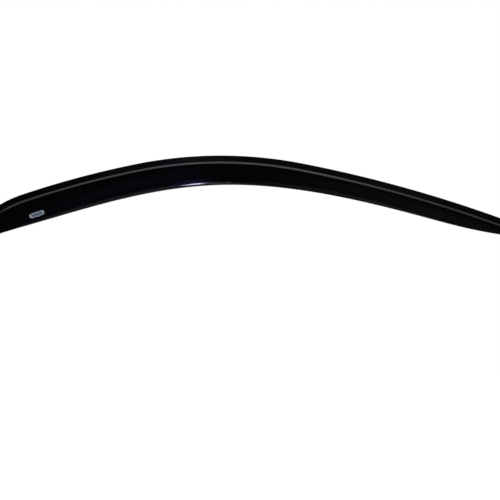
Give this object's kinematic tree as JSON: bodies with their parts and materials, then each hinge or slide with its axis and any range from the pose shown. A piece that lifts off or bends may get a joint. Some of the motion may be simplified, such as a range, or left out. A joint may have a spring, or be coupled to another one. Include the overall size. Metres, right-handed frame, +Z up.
{
  "type": "window rain deflector",
  "caption": "Arched, gloss-black side-window rain deflector: a taped flange, a shoulder and a bowed blade that shelters the gap above a lowered car window.",
  "frame": {"origin": "on the sticking face of the foam tape, halfway across the tape, at the crown of the arch", "axes": "+X towards the front of the car, +Z up, +Y in towards the glass, so that the blade bows out to -Y"},
  "size_m": [1.0359, 0.015, 0.1584],
  "materials": {
    "smoke_acrylic": "polished, near-black smoke tint",
    "foam_tape": "matte, fine closed cells"
  },
  "bodies": {
    "root": {"deflector_shell": "smoke_acrylic", "mounting_tape": "foam_tape"}
  },
  "joints": []
}
